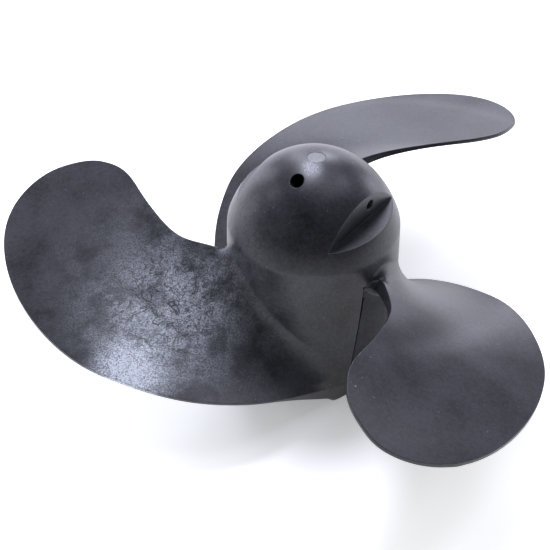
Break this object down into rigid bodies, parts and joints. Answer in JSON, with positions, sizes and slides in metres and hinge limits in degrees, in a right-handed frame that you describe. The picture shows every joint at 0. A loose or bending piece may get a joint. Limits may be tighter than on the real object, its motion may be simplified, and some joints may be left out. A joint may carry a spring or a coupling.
{
  "type": "small outboard boat propeller, left-hand, moulded in one piece",
  "caption": "Small left-hand boat propeller moulded in one piece: broad raked blades on a domed hub with a blind shaft bore, drive-pin slot and pin notch.",
  "frame": {"origin": "on the shaft axis, on the flat blind end of the shaft bore, where the shaft's end faces", "axes": "+Z aft along the shaft axis, towards the dome; -Z fore, towards the face it rests on; azimuths as in the reference picture, which looks along +Y"},
  "size_m": [0.1616, 0.172, 0.0725],
  "materials": {
    "body_plastic": "satin"
  },
  "bodies": {
    "root": {"propeller": "body_plastic"}
  },
  "joints": []
}
